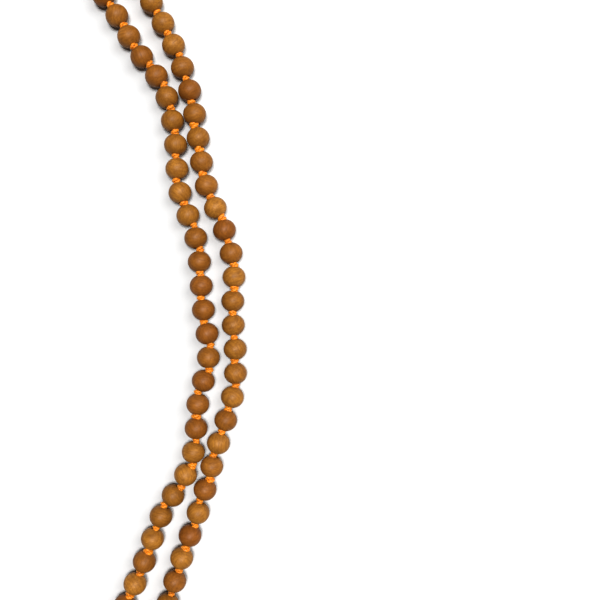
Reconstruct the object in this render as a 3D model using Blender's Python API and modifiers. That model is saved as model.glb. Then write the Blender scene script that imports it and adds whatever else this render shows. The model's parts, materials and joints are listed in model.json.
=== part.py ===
"""Knotted sandalwood mala: 108 counting beads and a guru bead on one cord, ended by a tassel.

The mala lies on a flat surface, z = 0, as two strands side by side.  Its one closed cord has a
knot between every two beads.  The counting beads in the middle of each strand are separate
pieces, which spin on the cord.  Those of the upper and lower loops, which would pass the count
of pieces, are joined to their stretch of cord.  Cross-fold lines, each through one knot of each
strand, let the ends of the mala be lifted.  Lengths are in metres, +Z is up.
"""

import math

import bmesh
import bpy
from mathutils import Vector

MM = 0.001

# Beads, cord and knots
BEAD_RADIUS = 4.5 * MM
BORE_RADIUS = 0.8 * MM
CORD_RADIUS = 0.45 * MM
KNOT_RADIUS = 1.35 * MM
KNOT_HALF_LENGTH = 1.25 * MM
SOCKET_CLEARANCE = 0.35 * MM  # between a knot and the countersink that it sits in
CORD_GAP = 0.3 * MM  # between two stretches of cord that meet at a fold
BEAD_COUNT = 108

# The guru bead, and the doubled cord through it
GURU_RADIUS = 5.5 * MM
GURU_BORE_RADIUS = 1.3 * MM
GURU_CORD_RADIUS = 0.85 * MM
GURU_KNOT_RADIUS = 1.7 * MM
GURU_KNOT_HALF_LENGTH = 1.6 * MM
GURU_KNOT_REACH = 6.1 * MM  # from the bead's centre to the knot on either side
JUNCTION_GAP = 2.6 * MM  # from where the two strands meet to the guru bead's upper knot
STRAND_LEAD = 2.6 * MM  # from where the two strands meet to the first bead's free end
MEETING_REACH = 0.9 * MM  # how far the cord's turn spreads where the two strands meet

# The tassel
TASSEL_LENGTH = 62 * MM
TASSEL_START = GURU_KNOT_RADIUS + 0.5 * MM
BINDING_START = 18 * MM
BINDING_LENGTH = 4 * MM
NECK_RADIUS = 2.9 * MM
BINDING_GAP = 0.3 * MM
BINDING_THICKNESS = 0.6 * MM

# Facets round each turned piece, and the angles from the bore of a joined bead's outline
BEAD_SIDES = 10
TASSEL_SIDES = 16
JOINED_ANGLES = (156, 125, 90, 55, 24)

# Where the cord runs on the table, in millimetres: from the guru bead up the left strand, round
# the upper loop, and down the right strand, back to the guru bead.
ROUTE_MM = [
    # lower loop, left side
    (-116.2, -237.8), (-118.4, -226.3), (-111.6, -212), (-102, -190), (-91.5, -167),
    (-80.5, -143.5),
    # left strand
    (-67.5, -116.5), (-60, -98), (-57, -88), (-52, -79.5), (-46, -71.5), (-43, -61), (-41.5, -51),
    (-42, -41.5), (-36.5, -23), (-39.5, -4), (-39.5, 6), (-41.5, 16), (-41.5, 25.5),
    (-49, 43.3), (-50.3, 64), (-53.8, 82.6), (-58, 91.5), (-65, 98.8), (-73.7, 114.6),
    # upper loop
    (-90.5, 139), (-107, 162), (-122, 180), (-135.5, 191.5), (-148, 202.5), (-153.2, 215.5),
    (-146.8, 228), (-134, 232.6), (-121, 225), (-111, 207), (-100, 188), (-87, 166),
    (-73.5, 143),
    # right strand
    (-57.9, 116.6), (-49.8, 100), (-44.1, 83), (-41.2, 65.2), (-38.1, 45.3), (-33, 36),
    (-30.8, 27.9), (-27.3, 18), (-26.3, 8.1), (-28, -1.5), (-26.7, -11), (-26, -30),
    (-27.5, -40.5), (-33.5, -59), (-35.6, -68), (-38.9, -77.3), (-41.3, -87), (-45, -96.5),
    (-48.8, -105.7), (-51, -115.4),
    # lower loop, right side
    (-63, -149), (-74.6, -179), (-86, -203.5), (-95.5, -220.5), (-104, -233.2),
    (-116.2, -237.8),
]
ROUTE_CENTRE_MM = (-89.9, -37.6)  # the middle of the whole mala, which is the part's origin
TAIL_DIRECTION = Vector((-0.45, -0.893, 0)).normalized()  # from the two strands to the tassel

# Beads by number, from the guru bead: each (first, last) run is one set of separate beads
LEFT_RUNS = {"lower": (15, 22), "middle": (23, 30), "upper": (31, 38)}
RIGHT_RUNS = {"upper": (70, 77), "middle": (78, 85), "lower": (86, 93)}
UPPER_LOOP_RUN = (39, 69)
LOWER_LOOP_RUNS = ((94, 108), (1, 14))

WOOD = (0.42, 0.2, 0.07, 1)
DARK_WOOD = (0.3, 0.13, 0.045, 1)
ORANGE = (0.9, 0.27, 0.02, 1)


# ---- scene and materials ----

def clear_scene():
    for old in list(bpy.data.objects):
        bpy.data.objects.remove(old, do_unlink=True)


def new_collection(name):
    collection = bpy.data.collections.new(name)
    bpy.context.scene.collection.children.link(collection)
    return collection


def new_material(name, colour, roughness):
    material = bpy.data.materials.new(name)
    material.use_nodes = True
    shader = material.node_tree.nodes["Principled BSDF"]
    shader.inputs["Base Color"].default_value = colour
    shader.inputs["Roughness"].default_value = roughness
    shader.inputs["Metallic"].default_value = 0.0
    return material


# ---- the cord's route ----

def smooth_line(points, steps=24):
    """Points along the Catmull-Rom curve through the given ones."""
    first = 2 * points[0] - points[1]
    last = 2 * points[-1] - points[-2]
    ends = [first, *points, last]
    line = []
    for a, b, c, d in zip(ends, ends[1:], ends[2:], ends[3:]):
        for k in range(steps):
            t = k / steps
            line.append(
                0.5 * (2 * b + (c - a) * t + (2 * a - 5 * b + 4 * c - d) * t**2
                       + (3 * b - a - 3 * c + d) * t**3)
            )
    line.append(points[-1])
    return line


def without_start(line, length):
    """The line with a stretch of the given length cut off its start."""
    for i, (a, b) in enumerate(zip(line, line[1:])):
        step = (b - a).length
        if step > length:
            return [a + (b - a) * (length / step), *line[i + 1:]]
        length -= step
    return line[-1:]


def equal_links(line, link, count):
    """The ends of count straight links of one length along the line, or fewer if it is short."""
    ends = [line[0]]
    start = line[0]
    i = 1
    while len(ends) <= count:
        here = ends[-1]
        while i < len(line) and (line[i] - here).length < link:
            start = line[i]
            i += 1
        if i == len(line):
            break
        step = line[i] - start
        offset = start - here
        a, b, c = step.dot(step), 2 * offset.dot(step), offset.dot(offset) - link**2
        start = start + step * ((math.sqrt(b * b - 4 * a * c) - b) / (2 * a))
        ends.append(start)
    return ends


def knot_places():
    """The knots' centres: 109 places, so that bead i is between places i - 1 and i."""
    middle = Vector((*ROUTE_CENTRE_MM, 0))
    points = [(Vector((x, y, 0)) - middle) * MM for x, y in ROUTE_MM]
    line = without_start(smooth_line(points), STRAND_LEAD)
    line = without_start(line[::-1], STRAND_LEAD)[::-1]
    shortest, longest = 2 * BEAD_RADIUS, 3 * BEAD_RADIUS
    for _ in range(50):
        link = (shortest + longest) / 2
        if len(equal_links(line, link, BEAD_COUNT)) > BEAD_COUNT:
            shortest = link
        else:
            longest = link
    places = equal_links(line, shortest, BEAD_COUNT)
    height = Vector((0, 0, BEAD_RADIUS))
    return [place + height for place in places], shortest


# ---- shapes ----

def add_object(name, data, material, collection):
    piece = bpy.data.objects.new(name, data)
    data.materials.append(material)
    collection.objects.link(piece)
    return piece


def turned_mesh(name, profile, sides):
    """A solid turned about Z, from a closed or open outline of (radius, height) points."""
    mesh = bpy.data.meshes.new(name)
    shape = bmesh.new()
    points = [shape.verts.new((radius, 0, height)) for radius, height in profile]
    closed = all(radius > 0 for radius, _ in profile)
    for a, b in zip(points, points[1:] + points[:1] if closed else points[1:]):
        shape.edges.new((a, b))
    shape.to_mesh(mesh)
    shape.free()
    blank = bpy.data.objects.new(name, mesh)
    bpy.context.scene.collection.objects.link(blank)
    screw = blank.modifiers.new("Turn", "SCREW")
    screw.axis = "Z"
    screw.steps = sides
    screw.render_steps = sides
    screw.use_merge_vertices = True
    screw.merge_threshold = 1e-6
    turned = bpy.data.meshes.new_from_object(
        blank.evaluated_get(bpy.context.evaluated_depsgraph_get())
    )
    bpy.data.objects.remove(blank, do_unlink=True)
    turned.name = name
    turned.shade_smooth()
    turned.set_sharp_from_angle(angle=math.radians(50))
    return turned


def bead_mesh(name, radius, bore, knot_reach, socket, sides, arcs=5):
    """A drilled ball, countersunk so that a knot sits in each end of its bore.

    knot_reach is the distance from the ball's centre to a knot's, and socket is the radius
    about the knot that the countersink, a cone, just clears.
    """
    mouth_in = (knot_reach**2 + socket**2 - radius**2) / (2 * knot_reach)
    mouth = math.sqrt(socket**2 - mouth_in**2)
    slope = (mouth - bore) * socket / mouth_in
    bore_end = knot_reach - mouth_in - slope * mouth / socket
    edge = math.asin(mouth / radius)
    outside = []
    for k in range(arcs + 1):
        angle = edge + (math.pi - 2 * edge) * k / arcs
        outside.append((radius * math.sin(angle), radius * math.cos(angle)))
    return turned_mesh(name, [*outside, (bore, -bore_end), (bore, bore_end)], sides)


def place_along(piece, centre, direction):
    """Puts a turned piece's centre at a point and its axis along a direction."""
    piece.location = centre
    piece.rotation_mode = "QUATERNION"
    piece.rotation_quaternion = direction.to_track_quat("Z", "X")


def tube(name, points, material, collection):
    """A round bar along (place, radius) points, with capped ends."""
    curve = bpy.data.curves.new(name, "CURVE")
    curve.dimensions = "3D"
    curve.bevel_depth = 1.0
    curve.bevel_resolution = 2
    curve.render_resolution_u = 0
    curve.use_fill_caps = True
    spline = curve.splines.new("POLY")
    spline.points.add(len(points) - 1)
    for point, (place, radius) in zip(spline.points, points):
        point.co = (*place, 1)
        point.radius = radius
    return add_object(name, curve, material, collection)


# ---- the strung cord ----

class Strand:
    """The knots' places and the pieces that lie between them."""

    def __init__(self):
        self.places, self.link = knot_places()

    def direction(self, bead):
        return (self.places[bead] - self.places[bead - 1]).normalized()

    def centre(self, bead):
        return (self.places[bead] + self.places[bead - 1]) / 2

    def knot(self, place):
        """The profile of one knot, lying along the links on both sides of it."""
        centre = self.places[place]
        before, after = self.direction(place), self.direction(place + 1)
        return [
            (centre - before * KNOT_HALF_LENGTH, CORD_RADIUS),
            (centre, KNOT_RADIUS),
            (centre + after * KNOT_HALF_LENGTH, CORD_RADIUS),
        ]

    def cord_start(self, place):
        """Just after a knot of the neighbouring stretch of cord."""
        reach = KNOT_RADIUS + CORD_GAP
        return self.places[place] + self.direction(place + 1) * reach, CORD_RADIUS

    def cord_end(self, place):
        reach = KNOT_RADIUS + CORD_GAP
        return self.places[place] - self.direction(place) * reach, CORD_RADIUS

    def joined_beads(self, first, last, clear_of=()):
        """The profile of beads that are one piece with their cord, and of the knots between.

        A bead next to a place in clear_of ends flat, which leaves room for the knot there.
        """
        flat_end = self.link / 2 - KNOT_RADIUS - SOCKET_CLEARANCE
        flat_angle = math.degrees(math.acos(flat_end / BEAD_RADIUS))
        points = []
        for bead in range(first, last + 1):
            centre, direction = self.centre(bead), self.direction(bead)
            angles = list(JOINED_ANGLES)
            if bead - 1 in clear_of:
                angles[0] = 180 - flat_angle
            if bead in clear_of:
                angles[-1] = flat_angle
            for angle in angles:
                along = BEAD_RADIUS * math.cos(math.radians(angle))
                radius = BEAD_RADIUS * math.sin(math.radians(angle))
                points.append((centre + direction * along, radius))
            if bead < last:
                points.append((self.places[bead], KNOT_RADIUS))
        return points


def build_beads(strand, materials, collection):
    """The separate counting beads, numbered up the left strand and down the right one."""
    mesh = bead_mesh(
        "bead", BEAD_RADIUS, BORE_RADIUS, strand.link / 2,
        KNOT_RADIUS + SOCKET_CLEARANCE, BEAD_SIDES,
    )
    mesh.materials.append(materials["wood"])
    for side, runs in (("left", LEFT_RUNS), ("right", RIGHT_RUNS)):
        first = min(run[0] for run in runs.values())
        last = max(run[1] for run in runs.values())
        for number, bead in enumerate(range(first, last + 1), 1):
            piece = bpy.data.objects.new(f"bead_{side}_{number:02d}", mesh)
            collection.objects.link(piece)
            place_along(piece, strand.centre(bead), strand.direction(bead))


def build_cords(strand, materials, collection):
    """The six stretches of knotted cord that the separate beads are strung on.

    The middle stretches hold the knots at both of their ends, and the others only those at
    their outer ends, so that each knot belongs to one stretch.
    """
    for side, runs in (("left", LEFT_RUNS), ("right", RIGHT_RUNS)):
        for part, (first, last) in runs.items():
            knots = list(range(first - 1, last + 1))
            outer_first = part == "middle" or (side == "left") == (part == "lower")
            outer_last = part == "middle" or (side == "left") == (part == "upper")
            points = []
            if not outer_first:
                points.append(strand.cord_start(knots.pop(0)))
            end = [] if outer_last else [strand.cord_end(knots.pop())]
            for knot in knots:
                points += strand.knot(knot)
            tube(f"cord_{side}_{part}", points + end, materials["orange"], collection)


def build_upper_loop(strand, materials, collection):
    first, last = UPPER_LOOP_RUN
    points = strand.joined_beads(first, last, clear_of=(first - 1, last))
    tube("upper_loop_beads", points, materials["wood"], collection)


def meeting_point():
    """Where the two strands come together above the guru bead."""
    x, y = ROUTE_MM[0]
    middle_x, middle_y = ROUTE_CENTRE_MM
    return Vector(((x - middle_x) * MM, (y - middle_y) * MM, BEAD_RADIUS))


def build_lower_loop(strand, materials, collection):
    """The beads on both sides of the guru bead, and the cord where the two sides meet."""
    (right_first, right_last), (left_first, left_last) = LOWER_LOOP_RUNS
    meet = meeting_point()
    across = TAIL_DIRECTION.cross(Vector((0, 0, 1)))
    turn = [
        (meet - (across * side + TAIL_DIRECTION * back) * MEETING_REACH, CORD_RADIUS)
        for side, back in ((-1, 1), (-0.7, 0.3), (0, 0), (0.7, 0.3), (1, 1))
    ]
    points = [
        *strand.joined_beads(right_first, right_last, clear_of=(right_first - 1,)),
        *turn,
        *strand.joined_beads(left_first, left_last, clear_of=(left_last,)),
    ]
    tube("lower_loop_beads", points, materials["wood"], collection)


# ---- the guru bead and the tassel ----

def guru_centre():
    upper_knot = meeting_point() + TAIL_DIRECTION * JUNCTION_GAP
    upper_knot.z = GURU_RADIUS
    return upper_knot + TAIL_DIRECTION * GURU_KNOT_REACH


def build_guru(materials, collection):
    mesh = bead_mesh(
        "guru", GURU_RADIUS, GURU_BORE_RADIUS, GURU_KNOT_REACH,
        GURU_KNOT_RADIUS + SOCKET_CLEARANCE, BEAD_SIDES + 2,
    )
    guru = add_object("guru_bead", mesh, materials["dark_wood"], collection)
    place_along(guru, guru_centre(), TAIL_DIRECTION)

    points = []
    for knot_at in (-GURU_KNOT_REACH, GURU_KNOT_REACH):
        knot = guru_centre() + TAIL_DIRECTION * knot_at
        points += [
            (knot - TAIL_DIRECTION * GURU_KNOT_HALF_LENGTH, GURU_CORD_RADIUS),
            (knot, GURU_KNOT_RADIUS),
            (knot + TAIL_DIRECTION * GURU_KNOT_HALF_LENGTH, GURU_CORD_RADIUS),
        ]
    tube("guru_cord", points, materials["orange"], collection)


def build_tassel(materials, collection, cutters):
    """Threads folded over the cord's end, flat where they lie on the table, and their binding."""
    pivot = guru_centre() + TAIL_DIRECTION * GURU_KNOT_REACH
    outline = [
        (0, 0), (0.8, 0), (0.8, 7), (2.4, 8), (3.7, 10.5), (4.1, 13), (3.8, 15),
        (NECK_RADIUS / MM, 17), (NECK_RADIUS / MM, 23), (4.0, 25), (5.2, 33), (6.2, 44),
        (6.9, TASSEL_LENGTH / MM), (0, TASSEL_LENGTH / MM),
    ]
    profile = [(radius * MM, along * MM) for radius, along in outline]
    threads_mesh = turned_mesh("threads", profile, TASSEL_SIDES)
    threads = add_object("tassel_threads", threads_mesh, materials["orange"], collection)
    place_along(threads, pivot + TAIL_DIRECTION * TASSEL_START, TAIL_DIRECTION)

    size = 4 * TASSEL_LENGTH
    bpy.ops.mesh.primitive_cube_add(size=size, location=(*pivot.xy, -size / 2))
    table = bpy.context.object
    table.name = "table_cutter"
    for group in table.users_collection:
        group.objects.unlink(table)
    cutters.objects.link(table)
    table.hide_render = True
    table.display_type = "WIRE"
    cut = threads.modifiers.new("Flat underside", "BOOLEAN")
    cut.operation = "DIFFERENCE"
    cut.solver = "EXACT"
    cut.object = table

    inner = NECK_RADIUS + BINDING_GAP
    outer = inner + BINDING_THICKNESS
    ring = [(inner, 0), (inner, BINDING_LENGTH), (outer, BINDING_LENGTH), (outer, 0)]
    binding_mesh = turned_mesh("binding", ring, TASSEL_SIDES)
    binding = add_object("tassel_binding", binding_mesh, materials["orange"], collection)
    start = pivot + TAIL_DIRECTION * (TASSEL_START + BINDING_START)
    place_along(binding, start, TAIL_DIRECTION)


def main():
    clear_scene()
    collection = new_collection("mala_prayer_beads")
    cutters = new_collection("cutters")
    materials = {
        "wood": new_material("sandalwood", WOOD, 0.5),
        "dark_wood": new_material("dark_sandalwood", DARK_WOOD, 0.5),
        "orange": new_material("orange_thread", ORANGE, 0.6),
    }
    strand = Strand()
    build_beads(strand, materials, collection)
    build_cords(strand, materials, collection)
    build_upper_loop(strand, materials, collection)
    build_lower_loop(strand, materials, collection)
    build_guru(materials, collection)
    build_tassel(materials, collection, cutters)


main()
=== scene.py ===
"""The look of the knotted sandalwood mala: turned wooden beads, tied orange thread and a tassel.

Lengths are in metres unless a name ends in _MM.  The route of the cord and the spacing of the
beads repeat the part's own, so every piece lies where the frame's solids lie.
"""

import json
import math
import random

import bpy
import numpy as np
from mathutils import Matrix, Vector

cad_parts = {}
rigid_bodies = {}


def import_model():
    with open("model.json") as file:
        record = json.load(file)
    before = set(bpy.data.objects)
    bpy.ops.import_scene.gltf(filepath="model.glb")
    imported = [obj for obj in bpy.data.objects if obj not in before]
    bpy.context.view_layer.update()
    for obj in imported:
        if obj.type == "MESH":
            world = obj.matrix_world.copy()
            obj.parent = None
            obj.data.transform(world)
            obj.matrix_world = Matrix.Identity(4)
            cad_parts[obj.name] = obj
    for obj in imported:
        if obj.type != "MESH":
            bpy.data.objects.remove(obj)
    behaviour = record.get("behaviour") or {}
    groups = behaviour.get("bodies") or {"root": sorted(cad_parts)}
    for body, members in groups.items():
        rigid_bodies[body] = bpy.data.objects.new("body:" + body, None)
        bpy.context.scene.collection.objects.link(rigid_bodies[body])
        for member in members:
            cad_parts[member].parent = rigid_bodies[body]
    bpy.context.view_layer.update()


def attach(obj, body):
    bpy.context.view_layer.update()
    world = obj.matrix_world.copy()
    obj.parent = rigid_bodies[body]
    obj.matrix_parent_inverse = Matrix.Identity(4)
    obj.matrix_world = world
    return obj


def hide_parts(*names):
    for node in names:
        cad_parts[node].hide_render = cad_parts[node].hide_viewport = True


MM = 0.001

# Beads, cord and knots, as in the part
BEAD_RADIUS = 4.5 * MM
BORE_RADIUS = 0.8 * MM
CORD_RADIUS = 0.45 * MM
STRAND_LEAD = 2.6 * MM
BEAD_COUNT = 108
GURU_RADIUS = 5.5 * MM
GURU_BORE_RADIUS = 1.3 * MM
GURU_KNOT_REACH = 6.1 * MM
JUNCTION_GAP = 2.6 * MM
TASSEL_START = 2.2 * MM

ROUTE_MM = [
    # lower loop, left side
    (-116.2, -237.8), (-118.4, -226.3), (-111.6, -212), (-102, -190), (-91.5, -167),
    (-80.5, -143.5),
    # left strand
    (-67.5, -116.5), (-60, -98), (-57, -88), (-52, -79.5), (-46, -71.5), (-43, -61), (-41.5, -51),
    (-42, -41.5), (-36.5, -23), (-39.5, -4), (-39.5, 6), (-41.5, 16), (-41.5, 25.5),
    (-49, 43.3), (-50.3, 64), (-53.8, 82.6), (-58, 91.5), (-65, 98.8), (-73.7, 114.6),
    # upper loop
    (-90.5, 139), (-107, 162), (-122, 180), (-135.5, 191.5), (-148, 202.5), (-153.2, 215.5),
    (-146.8, 228), (-134, 232.6), (-121, 225), (-111, 207), (-100, 188), (-87, 166),
    (-73.5, 143),
    # right strand
    (-57.9, 116.6), (-49.8, 100), (-44.1, 83), (-41.2, 65.2), (-38.1, 45.3), (-33, 36),
    (-30.8, 27.9), (-27.3, 18), (-26.3, 8.1), (-28, -1.5), (-26.7, -11), (-26, -30),
    (-27.5, -40.5), (-33.5, -59), (-35.6, -68), (-38.9, -77.3), (-41.3, -87), (-45, -96.5),
    (-48.8, -105.7), (-51, -115.4),
    # lower loop, right side
    (-63, -149), (-74.6, -179), (-86, -203.5), (-95.5, -220.5), (-104, -233.2),
    (-116.2, -237.8),
]
ROUTE_CENTRE_MM = (-89.9, -37.6)
TAIL = np.array([-0.45, -0.893, 0.0]) / math.hypot(0.45, 0.893)
UP = np.array([0.0, 0.0, 1.0])

# Beads by number, from the guru bead
LEFT_RUNS = {"lower": (15, 22), "middle": (23, 30), "upper": (31, 38)}
RIGHT_RUNS = {"upper": (70, 77), "middle": (78, 85), "lower": (86, 93)}
UPPER_LOOP_RUN = (39, 69)
LOWER_LOOP_RIGHT = (94, 108)
LOWER_LOOP_LEFT = (1, 14)
FOLD_PLACES = (14, 22, 30, 38, 69, 77, 85, 93)

# What the eye sees of a bead
BEAD_SIDES = 44
OUTSIDE_RINGS = 26
BEAD_SQUASH = 0.98  # a turned bead is a little shorter along its bore
BEAD_WIDTH = 1.03  # its width as a share of the nominal one
MOST_OVAL = 0.01
MOUTH_RADIUS = 1.45 * MM
GURU_MOUTH_RADIUS = 1.85 * MM

# The thread: three plies twisted together, with one full turn in each lay
PLIES = 3
LAY = 2.4 * MM
THREAD_SIDES = 12
THREAD_SWELL = 0.1  # how far the plies stand out, as a share of the radius
LINK_SPOTS = (0.06, 0.2, 0.4, 0.6, 0.8, 0.94)  # where a link of cord has its points

# A tight knot of that thread, and how loosely it sits on the cord
KNOT_STRAND = 0.6 * MM
KNOT_RING = 0.74 * MM
KNOT_WEAVE = 0.36 * MM
KNOT_RISE = 0.84 * MM
KNOT_POINTS = 72
KNOT_SIDES = 14
KNOT_SIZES = (0.92, 1.12)
FREE_KNOT_SIZES = (0.92, 1.16)  # a further factor, away from the folds
KNOT_SIDE_MM = 0.6
FREE_KNOT_SIDE = 1.4  # a factor on it, away from the folds
KNOT_SEAT_MM = (0.4, 0.9)
FOLD_KNOT_SEAT_MM = 0.1  # low, which leaves room for the beads to fold
GURU_KNOT_SIZE = 1.15

# The two cords wound round each other at the guru bead and the tassel
PAIR_RADIUS = 0.42 * MM
GURU_PAIR_TURNS = 2.5
TASSEL_PAIR_TURNS = 2.0

# The tassel: (distance from its knot, radius) of its outline, then its threads and binding
TASSEL_OUTLINE_MM = [
    (7.2, 0.9), (8, 2.2), (9, 3.1), (10.5, 3.7), (13, 4.1), (15, 3.8), (17, 2.9), (23, 2.9),
    (25, 3.9), (33, 5.1), (44, 6.1), (62, 6.8),
]
TASSEL_STEPS_MM = (7.4, 8, 9, 10.5, 12.5, 14.5, 16, 17.5, 20, 22.5, 24.5, 28, 33, 39, 46, 54)
TASSEL_ENDS_MM = (60.5, 62)
TASSEL_LAYERS = ((1.0, 62), (0.8, 46), (0.58, 32), (0.36, 20), (0.14, 8))  # share, threads
TASSEL_LOOSE_FROM_MM = 23
TASSEL_LOOSE_LENGTH_MM = 39
TASSEL_THREAD_MM = 0.36
TASSEL_SPREAD = 0.12  # how much threads that lie on the table spread sideways
TASSEL_FLATTEN = 0.02
BINDING_START_MM = 18.1
BINDING_LENGTH_MM = 3.8
BINDING_REACH_MM = 3.3
BINDING_THREAD_MM = 0.3
BINDING_TURNS = 7
BINDING_STEPS = 24  # points to a turn

# The view: straight down, 243 mm across
VIEW_WIDTH = 0.243
CAMERA_HEIGHT = 0.3

# The stage
FLOOR_HALF = 8.0
FLOOR_LEVEL = -0.0002
FLOOR_GREY = 0.56
BACKGROUND_GREY = 0.86
BACKGROUND_LIGHT = 0.1
KEY_PLACE = (0.75, 0.55, 1.1)
KEY_SIZE = 1.0
KEY_POWER = 15
OVERHEAD_PLACE = (0.1, 0.1, 1.9)
OVERHEAD_STRENGTH = 4.05
OVERHEAD_ANGLE = math.radians(18)
VIEW_GAMMA = 0.8


# ---- the cord's route ----

def smooth_line(points, steps=24):
    """Points along the Catmull-Rom curve through the given ones."""
    ends = [2 * points[0] - points[1], *points, 2 * points[-1] - points[-2]]
    line = []
    for a, b, c, d in zip(ends, ends[1:], ends[2:], ends[3:]):
        for k in range(steps):
            t = k / steps
            line.append(
                0.5 * (2 * b + (c - a) * t + (2 * a - 5 * b + 4 * c - d) * t**2
                       + (3 * b - a - 3 * c + d) * t**3)
            )
    line.append(points[-1])
    return line


def without_start(line, length):
    for i, (a, b) in enumerate(zip(line, line[1:])):
        step = np.linalg.norm(b - a)
        if step > length:
            return [a + (b - a) * (length / step), *line[i + 1:]]
        length -= step
    return line[-1:]


def equal_links(line, link, count):
    """The ends of count straight links of one length along the line, or fewer if it is short."""
    ends = [line[0]]
    start = line[0]
    i = 1
    while len(ends) <= count:
        here = ends[-1]
        while i < len(line) and np.linalg.norm(line[i] - here) < link:
            start = line[i]
            i += 1
        if i == len(line):
            break
        step = line[i] - start
        offset = start - here
        a, b, c = step @ step, 2 * offset @ step, offset @ offset - link**2
        start = start + step * ((math.sqrt(b * b - 4 * a * c) - b) / (2 * a))
        ends.append(start)
    return ends


def knot_places():
    """The knots' centres: 109 places, so that bead i is between places i - 1 and i."""
    middle = np.array(ROUTE_CENTRE_MM)
    points = [(np.array(p) - middle) * MM for p in ROUTE_MM]
    line = without_start(smooth_line(points), STRAND_LEAD)
    line = without_start(line[::-1], STRAND_LEAD)[::-1]
    shortest, longest = 2 * BEAD_RADIUS, 3 * BEAD_RADIUS
    for _ in range(50):
        link = (shortest + longest) / 2
        if len(equal_links(line, link, BEAD_COUNT)) > BEAD_COUNT:
            shortest = link
        else:
            longest = link
    return [np.array([*p, BEAD_RADIUS]) for p in equal_links(line, shortest, BEAD_COUNT)]


PLACES = knot_places()


def direction(bead):
    step = PLACES[bead] - PLACES[bead - 1]
    return step / np.linalg.norm(step)


def centre(bead):
    return (PLACES[bead] + PLACES[bead - 1]) / 2


# ---- meshes ----

class Shape:
    """Vertices and faces that become one piece, with values that its material reads."""

    def __init__(self):
        self.points, self.faces, self.values = [], [], {}
        self.count = 0

    def add(self, points, faces, **values):
        self.points.append(points)
        self.faces += [[i + self.count for i in face] for face in faces]
        self.count += len(points)
        for name, value in values.items():
            self.values.setdefault(name, []).append(value)

    def piece(self, name, material, body, slot, *nodes, sharp=60):
        mesh = bpy.data.meshes.new(name)
        mesh.from_pydata(np.concatenate(self.points).tolist(), [], self.faces)
        for key, parts in self.values.items():
            rows = np.concatenate(parts).astype(np.float32)
            kind = "FLOAT_VECTOR" if rows.ndim == 2 else "FLOAT"
            layer = mesh.attributes.new(key, kind, "POINT")
            layer.data.foreach_set("vector" if rows.ndim == 2 else "value", rows.ravel())
        mesh.validate()
        mesh.shade_smooth()
        mesh.set_sharp_from_angle(angle=math.radians(sharp))
        mesh.materials.append(material)
        made = bpy.data.objects.new(name, mesh)
        bpy.context.scene.collection.objects.link(made)
        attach(made, body)
        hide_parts(*nodes)
        return made


def axes_along(way, turn=0.0):
    """Three unit vectors, the last of them along the given way."""
    way = way / np.linalg.norm(way)
    side = np.cross(UP if abs(way[2]) < 0.9 else np.array([1.0, 0, 0]), way)
    side /= np.linalg.norm(side)
    other = np.cross(way, side)
    c, s = math.cos(turn), math.sin(turn)
    return np.array([side * c + other * s, other * c - side * s, way])


def ring_faces(rings, sides, closed):
    faces = []
    for r in range(rings if closed else rings - 1):
        below, above = r * sides, (r + 1) % rings * sides
        for k in range(sides):
            n = (k + 1) % sides
            faces.append((below + k, below + n, above + n, above + k))
    return faces


def tube(path, radius, sides, closed=False, plies=0, lay=1.0, swell=0.0):
    """A round thread along the path.  plies twisted strands swell its surface."""
    path = np.asarray(path, float)
    ahead = np.roll(path, -1, 0) - np.roll(path, 1, 0)
    if not closed:
        ahead[0], ahead[-1] = path[1] - path[0], path[-1] - path[-2]
    ahead /= np.linalg.norm(ahead, axis=1)[:, None]
    steps = np.linalg.norm(np.diff(path, axis=0), axis=1)
    along = np.concatenate([[0], np.cumsum(steps)])
    side = axes_along(ahead[0])[0]
    sides_way = []
    for way in ahead:
        side = side - way * (side @ way)
        side /= np.linalg.norm(side)
        sides_way.append(side)
    sides_way = np.array(sides_way)
    others = np.cross(ahead, sides_way)
    if closed:  # share the frame's twist over the loop, so that it joins up
        last = sides_way[-1] - ahead[0] * (sides_way[-1] @ ahead[0])
        twist = math.atan2(last @ others[0], last @ sides_way[0])
        turn = -twist * np.arange(len(path)) / len(path)
    else:
        turn = np.zeros(len(path))
    around = np.arange(sides) / sides * 2 * math.pi
    angle = around[None] + turn[:, None]
    radii = np.broadcast_to(np.asarray(radius, float), len(path))[:, None]
    if plies:
        wound = around[None] - 2 * math.pi * along[:, None] / lay
        radii = radii * (1 + swell * np.cos(plies * wound))
    points = (
        path[:, None]
        + radii[..., None] * (np.cos(angle)[..., None] * sides_way[:, None]
                              + np.sin(angle)[..., None] * others[:, None])
    )
    faces = ring_faces(len(path), sides, closed)
    if not closed:
        last = (len(path) - 1) * sides
        faces += [tuple(range(sides))[::-1], tuple(range(last, last + sides))]
    thread = np.stack(
        [
            np.repeat(along / MM, sides),
            np.tile(np.cos(around), len(path)),
            np.tile(np.sin(around), len(path)),
        ],
        axis=1,
    )
    return points.reshape(-1, 3), faces, thread


def bead_outline(radius, bore, mouth, squash):
    """(radius, height) points of a drilled and countersunk ball, from one bore end to the other."""
    edge = math.asin(mouth / radius)
    outside = [
        (radius * math.sin(a), radius * squash * math.cos(a))
        for a in np.linspace(edge * 1.12, math.pi - edge * 1.12, OUTSIDE_RINGS)
    ]
    top = outside[0][1]
    lip = [  # the rim of the countersink, softened
        (mouth, top - 0.02 * MM),
        (mouth * 0.94, top - 0.16 * MM),
    ]
    depth = (mouth - bore) * 1.5
    socket = [
        (mouth + (bore - mouth) * t, top - 0.2 * MM - depth * t) for t in (0.25, 0.6, 1.0)
    ]
    half = [*socket[::-1], *lip[::-1]]
    return [*half, *outside, *[(r, -h) for r, h in half[::-1]]]


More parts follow.
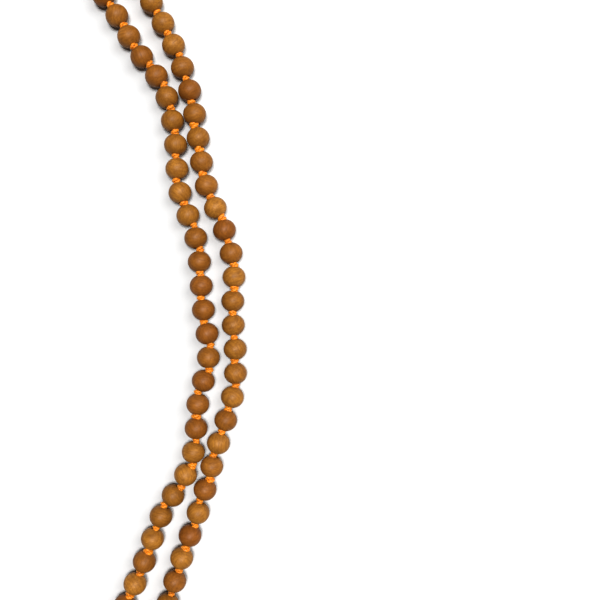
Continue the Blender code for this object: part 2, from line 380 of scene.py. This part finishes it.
def bead(shape, middle, way, rng, radius=BEAD_RADIUS, bore=BORE_RADIUS, mouth=MOUTH_RADIUS):
    """Adds one bead.  Each differs a little in shape, grain and colour."""
    outline = np.array(bead_outline(radius, bore, mouth, BEAD_SQUASH))
    around = np.arange(BEAD_SIDES) / BEAD_SIDES * 2 * math.pi
    oval, lean = rng.uniform(0, MOST_OVAL), rng.uniform(0, 2 * math.pi)
    r, h = outline[:, 0, None], outline[:, 1, None]
    wide = BEAD_WIDTH + oval * np.cos(2 * (around[None] - lean))
    local = np.stack(
        [r * wide * np.cos(around), r * wide * np.sin(around), h + 0 * around[None]], axis=-1
    ).reshape(-1, 3)
    turn = axes_along(way, rng.uniform(0, 2 * math.pi))
    points = local @ turn + middle
    lean_axis = np.array([rng.gauss(0, 1), rng.gauss(0, 1), rng.gauss(0, 1) * 0.6])
    grain_turn = axes_along(lean_axis, rng.uniform(0, 6))
    offset = np.array([rng.uniform(6, 14), rng.uniform(-4, 4), rng.uniform(-90, 90)])
    grain = local @ grain_turn.T / MM + offset
    shade = np.array([rng.random(), rng.random(), rng.random()])
    faces = [face[::-1] for face in ring_faces(len(outline), BEAD_SIDES, True)]
    shape.add(points, faces, grain=grain, shade=np.tile(shade, (len(points), 1)))


def add_thread(shape, path, radius, shade, sides=THREAD_SIDES, swell=THREAD_SWELL):
    points, faces, at = tube(path, radius, sides, plies=PLIES, lay=LAY, swell=swell)
    shape.add(points, faces, thread=at, shade=np.full((len(points), 3), shade))


def knot(shape, middle, way, rng, size=1.0):
    """Adds one tight knot: thread that goes three times round the cord, over and under itself."""
    t = np.arange(KNOT_POINTS) / KNOT_POINTS * 2 * math.pi
    out = KNOT_RING + KNOT_WEAVE * np.cos(2 * t)
    lie = np.stack([out * np.cos(3 * t), out * np.sin(3 * t), KNOT_RISE * np.sin(2 * t)], axis=1)
    tilt = rng.uniform(-0.5, 0.5)
    c, s = math.cos(tilt), math.sin(tilt)
    tip = np.array([[1, 0, 0], [0, c, s], [0, -s, c]])
    size *= rng.uniform(*KNOT_SIZES)
    lie = (lie * size) @ tip @ axes_along(way, rng.uniform(0, 6.28)) + middle
    points, faces, thread = tube(
        lie, KNOT_STRAND * size, KNOT_SIDES, closed=True, plies=PLIES, lay=LAY, swell=0.07
    )
    thread[:, 0] += rng.uniform(0, 50)
    shape.add(points, faces, thread=thread, shade=np.tile([rng.random()] * 3, (len(points), 1)))


# ---- materials ----

class Nodes:
    """A small helper that adds shader nodes and links them."""

    def __init__(self, name):
        self.material = bpy.data.materials.new(name)
        self.material.use_nodes = True
        self.tree = self.material.node_tree
        self.shader = self.tree.nodes["Principled BSDF"]

    def add(self, kind, inputs=(), **settings):
        node = self.tree.nodes.new(kind)
        for key, value in settings.items():
            setattr(node, key, value)
        for key, value in dict(inputs).items():
            self.set(node.inputs[key], value)
        return node

    def set(self, socket, value):
        if isinstance(value, bpy.types.NodeSocket):
            self.tree.links.new(value, socket)
        else:
            socket.default_value = value

    def math(self, operation, *values, clamp=False):
        node = self.add("ShaderNodeMath", operation=operation, use_clamp=clamp)
        for socket, value in zip(node.inputs, values):
            self.set(socket, value)
        return node.outputs[0]

    def mix(self, factor, a, b, blend="MIX"):
        node = self.add("ShaderNodeMix", data_type="RGBA", blend_type=blend)
        for socket, value in zip((node.inputs[0], node.inputs[6], node.inputs[7]), (factor, a, b)):
            self.set(socket, value)
        return node.outputs[2]

    def attribute(self, name):
        return self.add("ShaderNodeAttribute", attribute_name=name)

    def scaled(self, vector, scale):
        node = self.add("ShaderNodeVectorMath", operation="MULTIPLY")
        self.set(node.inputs[0], vector)
        node.inputs[1].default_value = scale
        return node.outputs[0]

    def noise(self, vector, scale, detail=3.0, rough=0.5):
        node = self.add("ShaderNodeTexNoise", {"Scale": scale, "Detail": detail, "Roughness": rough})
        self.set(node.inputs["Vector"], vector)
        return node.outputs["Fac"]

    def range(self, value, low, high, to_low=0.0, to_high=1.0):
        node = self.add("ShaderNodeMapRange", {"From Min": low, "From Max": high,
                                               "To Min": to_low, "To Max": to_high})
        self.set(node.inputs["Value"], value)
        return node.outputs["Result"]


def wood(name, dark, middle, light, red):
    """Turned sandalwood: growth rings, fine fibres and flecks, in a tone of its own per bead."""
    n = Nodes(name)
    grain = n.attribute("grain").outputs["Vector"]
    shade = n.add("ShaderNodeSeparateXYZ", {"Vector": n.attribute("shade").outputs["Vector"]})
    wander = n.noise(grain, 0.18, 2.0)
    apart = n.add("ShaderNodeSeparateXYZ", {"Vector": grain})
    reach = n.math("SQRT", n.math("ADD", n.math("POWER", apart.outputs["X"], 2.0),
                                  n.math("POWER", apart.outputs["Y"], 2.0)))
    rings = n.math("SINE", n.math("ADD", n.math("MULTIPLY", reach, 4.4),
                                  n.math("MULTIPLY", wander, 9.0)))
    ring = n.range(rings, -0.2, 1.0)
    fibre = n.noise(n.scaled(grain, (1.9, 1.9, 0.16)), 1.0, 5.0, 0.68)
    fleck = n.noise(n.scaled(grain, (5.0, 5.0, 0.6)), 1.0, 2.0, 0.5)
    blotch = n.noise(grain, 0.3, 3.0, 0.6)

    base = n.mix(n.range(shade.outputs["X"], 0.0, 1.0), middle, light)
    base = n.mix(n.range(shade.outputs["Y"], 0.35, 1.0), base, red)
    base = n.mix(n.range(blotch, 0.3, 0.75, 0.0, 0.5), base, dark)
    base = n.mix(n.math("MULTIPLY", ring, 0.16), base, dark)
    base = n.mix(n.range(fibre, 0.38, 0.68, 0.0, 0.46), base, dark)
    base = n.mix(n.range(fleck, 0.6, 0.72, 0.0, 0.4), base, dark)
    n.set(n.shader.inputs["Base Color"], base)
    n.set(n.shader.inputs["Roughness"], n.range(fibre, 0.2, 0.8, 0.4, 0.56))
    n.shader.inputs["Specular IOR Level"].default_value = 0.22
    high = n.math("ADD", n.math("MULTIPLY", fibre, 0.6), n.math("MULTIPLY", fleck, -0.5))
    bump = n.add("ShaderNodeBump", {"Strength": 0.12, "Distance": 0.0002, "Height": high})
    n.set(n.shader.inputs["Normal"], bump.outputs["Normal"])
    return n.material


def thread(name, deep_and_groove_shade, middle, light):
    """Twisted orange thread: helical plies and fine filaments, painted darker in the grooves
    (painted shade) and lighter on the crests (painted highlight), and a soft sheen.
    """
    n = Nodes(name)
    along = n.add("ShaderNodeSeparateXYZ", {"Vector": n.attribute("thread").outputs["Vector"]})
    shade = n.attribute("shade").outputs["Fac"]
    around = n.math("ARCTAN2", along.outputs["Z"], along.outputs["Y"])
    twist = n.math("SUBTRACT", n.math("MULTIPLY", around, float(PLIES)),
                   n.math("MULTIPLY", along.outputs["X"], PLIES * 2 * math.pi / (LAY / MM)))
    ply = n.range(n.math("COSINE", twist), -1.0, 1.0)
    fine = n.range(n.math("COSINE", n.math("MULTIPLY", twist, 5.0)), -1.0, 1.0)
    fuzz = n.noise(n.attribute("thread").outputs["Vector"], 3.0, 3.0, 0.6)
    # painted shade and highlight: the grooves between the plies get the deep colour, the ply crests
    # and the fine filaments' crests are painted lighter
    base = n.mix(n.range(ply, -0.35, 0.6), deep_and_groove_shade, middle)
    base = n.mix(n.math("MULTIPLY", n.range(ply, 0.5, 1.0), 0.4), base, light)
    base = n.mix(n.math("MULTIPLY", fine, 0.15), base, light)
    base = n.mix(n.range(shade, 0.0, 1.0, 0.0, 0.2), base, deep_and_groove_shade)
    base = n.mix(n.range(fuzz, 0.4, 0.8, 0.0, 0.25), base, deep_and_groove_shade)
    n.set(n.shader.inputs["Base Color"], base)
    n.shader.inputs["Roughness"].default_value = 0.48
    n.shader.inputs["Sheen Weight"].default_value = 0.35
    n.shader.inputs["Sheen Roughness"].default_value = 0.4
    n.shader.inputs["Sheen Tint"].default_value = (1.0, 0.62, 0.25, 1.0)
    high = n.math("ADD", ply, n.math("MULTIPLY", fine, 0.35))
    bump = n.add("ShaderNodeBump", {"Strength": 0.5, "Distance": 0.00012, "Height": high})
    n.set(n.shader.inputs["Normal"], bump.outputs["Normal"])
    return n.material


# ---- the strung beads ----

def link_path(points):
    """A cord's line through the knots, straight in each bead's bore and rounded at the knots."""
    path = []
    for a, b in zip(points, points[1:]):
        path += [a + (b - a) * t for t in LINK_SPOTS]
    return [points[0], *path, points[-1]]


def string_stretch(name, places, body, nodes, material, knots, rng):
    """One stretch of cord between two folds, and the knots tied in it."""
    path = link_path(places)
    cord_shape = Shape()
    add_thread(cord_shape, path, CORD_RADIUS, 0.5)
    cord = cord_shape.piece(f"string_{name}", material, body, "orange_thread", *nodes)
    knot_shape = Shape()
    for place in knots:
        way = PLACES[min(place + 1, BEAD_COUNT)] - PLACES[max(place - 1, 0)]
        across = np.cross(way / np.linalg.norm(way), UP)
        fold = place in FOLD_PLACES
        rise = FOLD_KNOT_SEAT_MM if fold else rng.uniform(*KNOT_SEAT_MM)
        side = rng.uniform(-KNOT_SIDE_MM, KNOT_SIDE_MM) * (1 if fold else FREE_KNOT_SIDE)
        size = 1 if fold else rng.uniform(*FREE_KNOT_SIZES)
        seat = (across * side + UP * rise) * MM
        knot(knot_shape, PLACES[place] + seat, way, rng, size)
    tied = knot_shape.piece(f"knots_{name}", material, body, "orange_thread", *nodes)


def build_beads(sandalwood):
    rng = random.Random(9)
    for side, runs in (("left", LEFT_RUNS), ("right", RIGHT_RUNS)):
        first = min(run[0] for run in runs.values())
        last = max(run[1] for run in runs.values())
        for number, index in enumerate(range(first, last + 1), 1):
            node = f"bead_{side}_{number:02d}"
            shape = Shape()
            bead(shape, centre(index), direction(index), rng)
            shape.piece(f"turned_{node}", sandalwood, node, "sandalwood", node)
    for name, runs in (
        ("upper_loop", [UPPER_LOOP_RUN]),
        ("lower_loop", [LOWER_LOOP_RIGHT, LOWER_LOOP_LEFT]),
    ):
        shape = Shape()
        for first, last in runs:
            for index in range(first, last + 1):
                bead(shape, centre(index), direction(index), rng)
        shape.piece(f"turned_beads_{name}", sandalwood, name, "sandalwood", f"{name}_beads")


def build_strings(material):
    rng = random.Random(5)
    for side, runs in (("left", LEFT_RUNS), ("right", RIGHT_RUNS)):
        for part, (first, last) in runs.items():
            knots = list(range(first - 1, last + 1))
            if part != "middle":
                # the knot at the middle stretch's end belongs to that stretch
                knots.pop(-1 if (side == "left") == (part == "lower") else 0)
            string_stretch(
                f"{side}_{part}", PLACES[first - 1:last + 1], f"{part}_strand",
                [f"cord_{side}_{part}"], material, knots, rng,
            )
    first, last = UPPER_LOOP_RUN
    string_stretch(
        "upper_loop", PLACES[first - 1:last + 1], "upper_loop", ["upper_loop_beads"],
        material, range(first, last), rng,
    )
    first, last = LOWER_LOOP_RIGHT
    string_stretch(
        "lower_loop_right", [*PLACES[first - 1:last + 1], guru_top()], "lower_loop",
        ["lower_loop_beads"], material, range(first, last), rng,
    )
    first, last = LOWER_LOOP_LEFT
    string_stretch(
        "lower_loop_left", [guru_top(), *PLACES[first - 1:last + 1]], "lower_loop",
        ["lower_loop_beads"], material, range(first, last), rng,
    )


# ---- guru bead and tassel ----

def guru_top():
    """The knot above the guru bead, where the two strands come together."""
    x, y = (np.array(ROUTE_MM[0]) - ROUTE_CENTRE_MM) * MM
    return np.array([x, y, GURU_RADIUS]) + TAIL * JUNCTION_GAP


def guru_centre():
    return guru_top() + TAIL * GURU_KNOT_REACH


def twisted_pair(shape, start, end, turns):
    """Two cords wound round each other between two points."""
    steps = max(12, int(turns * 16))
    sides = axes_along(end - start)
    for half in (0, math.pi):
        path = []
        for k in range(steps + 1):
            t = k / steps
            angle = half + 2 * math.pi * turns * t
            path.append(
                start + (end - start) * t
                + (sides[0] * math.cos(angle) + sides[1] * math.sin(angle)) * PAIR_RADIUS
            )
        add_thread(shape, path, PAIR_RADIUS, 0.4)


def build_guru(guru_wood, cord_material):
    rng = random.Random(21)
    shape = Shape()
    bead(shape, guru_centre(), TAIL, rng, GURU_RADIUS, GURU_BORE_RADIUS, GURU_MOUTH_RADIUS)
    shape.piece("turned_guru_bead", guru_wood, "guru_bead", "guru_wood", "guru_bead")

    shape = Shape()
    top = guru_top()
    bottom = top + TAIL * 2 * GURU_KNOT_REACH
    twisted_pair(shape, top, bottom, GURU_PAIR_TURNS)
    for place in (top, bottom):
        knot(shape, place, TAIL, rng, size=GURU_KNOT_SIZE)
    shape.piece("guru_cord_and_knots", cord_material, "guru_end", "orange_thread", "guru_cord")


def tassel_radius(along):
    s, r = zip(*TASSEL_OUTLINE_MM)
    return float(np.interp(along, s, r))


def tassel_thread_path(start, side, up, depth, angle, end, wander, drift, number):
    """One thread's line, from the knot through the neck to its loose end on the table."""
    low = TASSEL_THREAD_MM - GURU_RADIUS / MM + 0.1
    path = []
    for s in (*TASSEL_STEPS_MM, end):
        loose = max(0.0, (s - TASSEL_LOOSE_FROM_MM) / TASSEL_LOOSE_LENGTH_MM)
        a = angle + wander * loose * 2
        reach = max(0.0, tassel_radius(s) - TASSEL_THREAD_MM) * depth
        reach += drift * loose * math.sin(s * 0.16 + number) * 0.6
        x, z = reach * math.cos(a), reach * math.sin(a)
        if z < low:  # the threads lie on the table and spread
            x, z = x * (1 + TASSEL_SPREAD * (low - z)), low + (z - low) * TASSEL_FLATTEN
        path.append(start + (TAIL * s + side * x + up * z) * MM)
    return path


def build_tassel(material):
    rng = random.Random(33)
    start = guru_top() + TAIL * (2 * GURU_KNOT_REACH + TASSEL_START)
    side, up, _ = axes_along(TAIL)
    shape = Shape()
    for depth, count in TASSEL_LAYERS:
        for k in range(count):
            angle = 2 * math.pi * (k + rng.uniform(-0.3, 0.3)) / count
            end = rng.uniform(*TASSEL_ENDS_MM)
            wander, drift = rng.uniform(-0.12, 0.12), rng.uniform(-0.5, 0.5)
            path = tassel_thread_path(start, side, up, depth, angle, end, wander, drift, k)
            points, faces, at = tube(smooth_line(path, 2), TASSEL_THREAD_MM * MM, 6)
            at[:, 0] += rng.uniform(0, 40)
            shade = np.tile([rng.random()] * 3, (len(points), 1))
            shape.add(points, faces, thread=at, shade=shade)
    shape.piece("tassel_loose_threads", material, "tassel", "orange_thread", "tassel_threads")

    shape = Shape()
    twisted_pair(shape, start - TAIL * 0.6 * MM, start + TAIL * 8.5 * MM, TASSEL_PAIR_TURNS)
    shape.piece("tassel_cord", material, "tassel", "orange_thread", "tassel_threads")

    shape = Shape()
    path = []
    for k in range(BINDING_TURNS * BINDING_STEPS + 1):
        t = k / (BINDING_TURNS * BINDING_STEPS)
        a = 2 * math.pi * BINDING_TURNS * t
        out = (side * math.cos(a) + up * math.sin(a)) * BINDING_REACH_MM
        path.append(start + (TAIL * (BINDING_START_MM + BINDING_LENGTH_MM * t) + out) * MM)
    add_thread(shape, path, BINDING_THREAD_MM * MM, 0.8, sides=10, swell=0.08)
    shape.piece("tassel_wound_binding", material, "tassel", "orange_thread", "tassel_binding")


# ---- stage ----

def build_floor():
    mesh = bpy.data.meshes.new("floor")
    h = FLOOR_HALF
    mesh.from_pydata([(-h, -h, 0), (h, -h, 0), (h, h, 0), (-h, h, 0)], [], [(0, 1, 2, 3)])
    floor = bpy.data.objects.new("floor", mesh)
    floor.location.z = FLOOR_LEVEL
    bpy.context.scene.collection.objects.link(floor)
    n = Nodes("pale_floor")
    n.shader.inputs["Base Color"].default_value = (FLOOR_GREY, FLOOR_GREY, FLOOR_GREY, 1)
    n.shader.inputs["Roughness"].default_value = 0.9
    n.shader.inputs["Specular IOR Level"].default_value = 0.1
    mesh.materials.append(n.material)


def build_background():
    """An open background that looks as pale as the floor, and lights the scene only faintly."""
    world = bpy.data.worlds.new("studio")
    world.use_nodes = True
    nodes, links = world.node_tree.nodes, world.node_tree.links
    faint = nodes["Background"]
    faint.inputs["Color"].default_value = (1, 1, 1, 1)
    faint.inputs["Strength"].default_value = BACKGROUND_LIGHT
    pale = nodes.new("ShaderNodeBackground")
    pale.inputs["Color"].default_value = (BACKGROUND_GREY, BACKGROUND_GREY, BACKGROUND_GREY, 1)
    seen = nodes.new("ShaderNodeLightPath")
    choice = nodes.new("ShaderNodeMixShader")
    links.new(seen.outputs["Is Camera Ray"], choice.inputs[0])
    links.new(faint.outputs[0], choice.inputs[1])
    links.new(pale.outputs[0], choice.inputs[2])
    links.new(choice.outputs[0], nodes["World Output"].inputs["Surface"])
    bpy.context.scene.world = world


def add_light(light, place):
    """Puts the light at the place, pointing at the origin."""
    made = bpy.data.objects.new(light.name, light)
    made.location = place
    made.rotation_mode = "QUATERNION"
    made.rotation_quaternion = (-Vector(place)).to_track_quat("-Z", "Y")
    bpy.context.scene.collection.objects.link(made)


def build_lights():
    key = bpy.data.lights.new("key", "AREA")
    key.shape = "DISK"
    key.size = KEY_SIZE
    key.energy = KEY_POWER
    add_light(key, KEY_PLACE)
    overhead = bpy.data.lights.new("overhead", "SUN")
    overhead.energy = OVERHEAD_STRENGTH
    overhead.angle = OVERHEAD_ANGLE
    add_light(overhead, OVERHEAD_PLACE)


def build_camera():
    x, y = -np.array(ROUTE_CENTRE_MM) * MM
    data = bpy.data.cameras.new("camera")
    data.sensor_width = 36
    data.lens = data.sensor_width * (CAMERA_HEIGHT - BEAD_RADIUS) / VIEW_WIDTH
    data.clip_end = 50
    camera = bpy.data.objects.new("camera", data)
    camera.location = (x, y, CAMERA_HEIGHT)
    bpy.context.scene.collection.objects.link(camera)
    bpy.context.scene.camera = camera


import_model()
for old in list(bpy.data.objects):
    if old.type in ("LIGHT", "CAMERA"):
        bpy.data.objects.remove(old, do_unlink=True)

sandalwood = wood("sandalwood", (0.10, 0.032, 0.004, 1), (0.325, 0.145, 0.022, 1),
                  (0.46, 0.215, 0.037, 1), (0.29, 0.106, 0.017, 1))
guru_wood = wood("guru_wood", (0.09, 0.026, 0.006, 1), (0.28, 0.11, 0.02, 1),
                 (0.36, 0.15, 0.03, 1), (0.26, 0.085, 0.018, 1))
orange = thread("orange_thread", (0.36, 0.075, 0.001, 1), (0.72, 0.235, 0.003, 1),
                (0.9, 0.42, 0.016, 1))

build_beads(sandalwood)
build_strings(orange)
build_guru(guru_wood, orange)
build_tassel(orange)
build_floor()
build_background()
build_lights()
build_camera()
view = bpy.context.scene.view_settings
view.view_transform = "Standard"
view.gamma = VIEW_GAMMA
